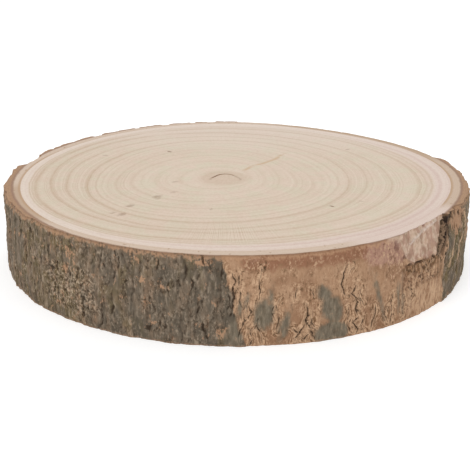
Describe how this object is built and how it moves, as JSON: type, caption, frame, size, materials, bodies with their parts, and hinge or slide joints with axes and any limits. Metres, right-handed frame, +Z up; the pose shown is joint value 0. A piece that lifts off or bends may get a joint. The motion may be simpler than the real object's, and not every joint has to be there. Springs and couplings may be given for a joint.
{
  "type": "wood slice",
  "caption": "Round cross-cut slice of a tree trunk, sawn and sanded flat above and below, with rough bark round its edge, for use as a stand, tray or base.",
  "frame": {"origin": "middle of the sawn base's bounding rectangle, on the surface that the slice stands on", "axes": "+Z up through the slice's thickness, from the sawn base to the sawn top; -Y toward the front as pictured; +X to the right of it"},
  "size_m": [0.2904, 0.2992, 0.05],
  "materials": {
    "sawn_wood": "pale sapwood, sawn across the grain and sanded, unsealed, with fine growth rings",
    "bark": "dry natural bark, grey-brown and furrowed, flaked off to a tan inner layer at the front"
  },
  "bodies": {
    "root": {"wood_slice": "sawn_wood"}
  },
  "joints": []
}
